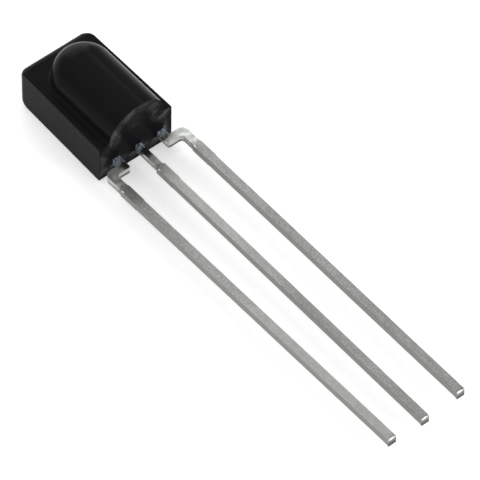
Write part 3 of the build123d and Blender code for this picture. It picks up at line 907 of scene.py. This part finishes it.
def roll_tip(form, sizes, smear_and_painted_glint, tip_y):
    """Roll the tip's upper edge over, and mark it for a painted glint: strong on the -X side, weaker
    beyond.
    """
    tip_edges = [
        edge for edge in form.edges
        if all(vert.co.z > LEAD_ROOTS.z and vert.co.y < tip_y + 0.1 * MM for vert in edge.verts)
        and abs(edge.verts[0].co.x - edge.verts[1].co.x) > 0.1 * MM
    ]
    rolled = bmesh.ops.bevel(
        form, geom=tip_edges, offset=sizes.tip_rounding, offset_type="OFFSET", segments=2,
        profile=0.5, affect="EDGES", clamp_overlap=True,
    )["faces"]
    split_x = sum(face.calc_center_median().x for face in rolled) / len(rolled) + GLINT_SPLIT
    rolled_edges = dict.fromkeys(edge for face in rolled for edge in face.edges)
    halves = bmesh.ops.bisect_plane(
        form, geom=[*rolled, *rolled_edges], dist=CUT, plane_co=(split_x, 0, 0), plane_no=(1, 0, 0),
    )
    for face in halves["geom"]:
        if isinstance(face, bmesh.types.BMFace):
            face[smear_and_painted_glint] = 1 if face.calc_center_median().x < split_x else WEAK_GLINT


def add_burr(form, sizes, smear_and_painted_glint):
    """Add the burr on the upper edge of the tie bar's stub, on its -X side, marked all over for a painted
    glint.
    """
    burr_y = LEAD_ROOTS.y - sizes.burr_reach
    stub_x = min(vert.co.x for vert in form.verts if abs(vert.co.y - burr_y) < STUB_LENGTH)
    burr_at = Vector((stub_x + sizes.burr_width / 2, burr_y, SHEET_HIGH.z))
    burr_size = (sizes.burr_width / 2, sizes.burr_length / 2, sizes.burr_width / 3, 1)
    burr = bmesh.ops.create_icosphere(
        form, subdivisions=3, radius=1,
        matrix=Matrix.Translation(burr_at) @ Matrix.Diagonal(burr_size),
    )
    for vert in burr["verts"]:
        for face in vert.link_faces:
            face[smear_and_painted_glint] = 1


class RECEIVER_OT_leads(bpy.types.Operator):
    """Make the tinned leads, with their stamped edges rounded"""

    bl_idname = "receiver.leads"
    bl_label = "Leads"

    def execute(self, context):
        sizes = context.scene.receiver_leads
        material = tinned_steel(sizes)
        shank_y = LEAD_ROOTS.y - sizes.shank_start
        for name in LEADS:
            mesh = frame["nodes"][name].data.copy()
            mesh.name = "tinned_" + name
            form = bmesh.new()
            form.from_mesh(mesh)
            bmesh.ops.remove_doubles(form, verts=form.verts, dist=0.0005 * MM)
            bmesh.ops.dissolve_limit(
                form, angle_limit=math.radians(0.5), verts=form.verts, edges=form.edges,
            )
            tip_y = min(vert.co.y for vert in form.verts)
            for cut_y in (shank_y + sizes.stub_slope, shank_y, tip_y + sizes.drag_reach):
                bmesh.ops.bisect_plane(
                    form, geom=[*form.verts, *form.edges, *form.faces], dist=CUT,
                    plane_co=(0, cut_y, 0), plane_no=(0, 1, 0),
                )
            form.normal_update()
            fill_shank(form, sizes, shank_y, tip_y, sizes.stray if name == "lead_output" else 0.0)
            # face layer that marks where the painted glint goes
            smear_and_painted_glint = form.faces.layers.float.new("smear_and_painted_glint")
            roll_tip(form, sizes, smear_and_painted_glint, tip_y)
            stamped = [edge for edge in form.edges if edge.calc_face_angle(0) > math.radians(50)]
            bmesh.ops.bevel(
                form, geom=stamped, offset=sizes.edge_rounding, offset_type="OFFSET", segments=3,
                profile=0.5, affect="EDGES", clamp_overlap=True,
            )
            add_burr(form, sizes, smear_and_painted_glint)
            bmesh.ops.recalc_face_normals(form, faces=form.faces)
            form.to_mesh(mesh)
            form.free()
            piece = new_object("tinned_" + name, mesh)
            mesh.shade_smooth()
            flatten = piece.modifiers.new("Flat faces", "WEIGHTED_NORMAL")
            flatten.weight = 100
            wear_material(piece, material)
            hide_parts(name)
            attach(piece, "root")
        return {"FINISHED"}


# --- sealed pieces ------------------------------------------------------------------------------
class RECEIVER_OT_chips(bpy.types.Operator):
    """Give the sealed chips, adhesive and bond wires their materials"""

    bl_idname = "receiver.chips"
    bl_label = "Chips and wires"

    def execute(self, context):
        finishes = (
            (CHIPS, polished_silicon(), "silicon"),
            (ADHESIVES, silver_adhesive(), "silver_adhesive"),
            (BOND_WIRES, drawn_gold(), "gold_wire"),
        )
        for names, material, slot in finishes:
            for name in names:
                wear_material(frame["nodes"][name], material)
        return {"FINISHED"}


# --- stage --------------------------------------------------------------------------------------
CARD_LIFT = 0.40          # light added to the card where it is seen, so that it fades to white
CARD_HALF_SIZE = 1.5
CARD_GAP = 0.002 * MM     # below the part
SENSOR = 36               # of the camera, in millimetres


def white_card(settings):
    """Smooth white card: even and matte, so it shows only a soft shadow and fades to white."""
    material, tree, shader, place = new_material("White card")
    fibre = add(tree, NOISE, {"Vector": place, "Scale": 3000.0})
    two_tones(tree, shader, fibre, [*settings.floor, 1.0], linear("#F8F8F8"))
    shader.inputs["Roughness"].default_value = 0.9
    shader.inputs["Specular IOR Level"].default_value = 0.0
    rays = add(tree, "ShaderNodeLightPath")
    seen = add(tree, MATH, [rays.outputs["Is Camera Ray"], rays.outputs["Is Glossy Ray"]])
    seen = add(tree, MATH, [seen, rays.outputs["Is Transmission Ray"]])
    lift = add(tree, MATH, [seen, CARD_LIFT], operation="MULTIPLY")
    glow = add(tree, "ShaderNodeEmission", {"Strength": lift})
    both = add(tree, "ShaderNodeAddShader", [shader, glow])
    output = next(node for node in tree.nodes if node.type == "OUTPUT_MATERIAL")
    tree.links.new(both.outputs[0], output.inputs["Surface"])
    return material


class RECEIVER_OT_stage(bpy.types.Operator):
    """Set up the floor, the lights and the camera"""

    bl_idname = "receiver.stage"
    bl_label = "Stage"

    def execute(self, context):
        scene = context.scene
        settings = scene.receiver_stage
        low, high = (Vector(corner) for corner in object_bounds())

        mesh = bpy.data.meshes.new("floor")
        form = bmesh.new()
        bmesh.ops.create_grid(form, x_segments=8, y_segments=8, size=CARD_HALF_SIZE)
        bmesh.ops.translate(form, verts=form.verts, vec=(0, 0, low.z - CARD_GAP))
        form.to_mesh(mesh)
        form.free()
        floor = new_object("floor", mesh)
        mesh.materials.append(white_card(settings))
        floor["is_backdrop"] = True

        world = bpy.data.worlds.new("Studio")
        scene.world = world
        world.use_nodes = True
        tree = world.node_tree
        tree.nodes.clear()
        sky = add(tree, "ShaderNodeBackground", {"Color": (1, 1, 1, 1), "Strength": settings.surround})
        add(tree, "ShaderNodeOutputWorld", {"Surface": sky})

        middle = (low + high) / 2
        for name, place, size, power in (
            ("overhead", (-0.22, 0.27, 0.78), 0.90, 1.3),
            ("front", (0.36, -0.70, 0.44), 0.35, 1.9),
            ("back", (0.30, 0.78, 0.36), 0.80, 4.5),
        ):
            light = bpy.data.lights.new(name, "AREA")
            light.size = size
            light.energy = power
            lamp = new_object(name, light)
            lamp.location = middle + Vector(place)
            lamp.rotation_euler = Vector(place).to_track_quat("Z", "Y").to_euler()

        back = Vector((
            math.sin(settings.azimuth) * math.cos(settings.elevation),
            -math.cos(settings.azimuth) * math.cos(settings.elevation),
            math.sin(settings.elevation),
        ))
        turn = back.to_track_quat("Z", "Y").to_matrix() @ Matrix.Rotation(settings.roll, 3, "Z")
        aim = middle + Vector(settings.aim)
        data = bpy.data.cameras.new("camera")
        data.lens = settings.focal_length
        data.sensor_width = SENSOR
        data.clip_start = 0.01
        data.clip_end = 10
        camera = new_object("camera", data)
        camera.matrix_world = Matrix.Translation(aim + back * settings.distance) @ turn.to_4x4()
        scene.camera = camera
        scene.view_settings.view_transform = "Standard"
        return {"FINISHED"}


# --- panel and registration ---------------------------------------------------------------------
GROUPS = (
    ("receiver_casting", ReceiverCasting),
    ("receiver_leads", ReceiverLeads),
    ("receiver_stage", ReceiverStage),
)
OPERATORS = (RECEIVER_OT_casting, RECEIVER_OT_leads, RECEIVER_OT_chips, RECEIVER_OT_stage)


class RECEIVER_PT_panel(bpy.types.Panel):
    """Sizes, colours and steps of the receiver"""

    bl_idname = "RECEIVER_PT_panel"
    bl_label = "Infrared receiver"
    bl_space_type = "VIEW_3D"
    bl_region_type = "UI"
    bl_category = "Receiver"

    def draw(self, context):
        for name, group in GROUPS:
            box = self.layout.box()
            for prop in group.__annotations__:
                box.prop(getattr(context.scene, name), prop)
        for operator in OPERATORS:
            self.layout.operator(operator.bl_idname)


def register():
    for name, group in GROUPS:
        bpy.utils.register_class(group)
        setattr(bpy.types.Scene, name, bpy.props.PointerProperty(type=group))
    for shown in (*OPERATORS, RECEIVER_PT_panel):
        bpy.utils.register_class(shown)


def unregister():
    for shown in (RECEIVER_PT_panel, *reversed(OPERATORS)):
        bpy.utils.unregister_class(shown)
    for name, group in reversed(GROUPS):
        delattr(bpy.types.Scene, name)
        bpy.utils.unregister_class(group)


def main():
    """Build the receiver and its stage."""
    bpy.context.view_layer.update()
    register()
    bpy.ops.receiver.casting()
    bpy.ops.receiver.leads()
    bpy.ops.receiver.chips()
    bpy.ops.receiver.stage()


if __name__ == "__main__":
    main()
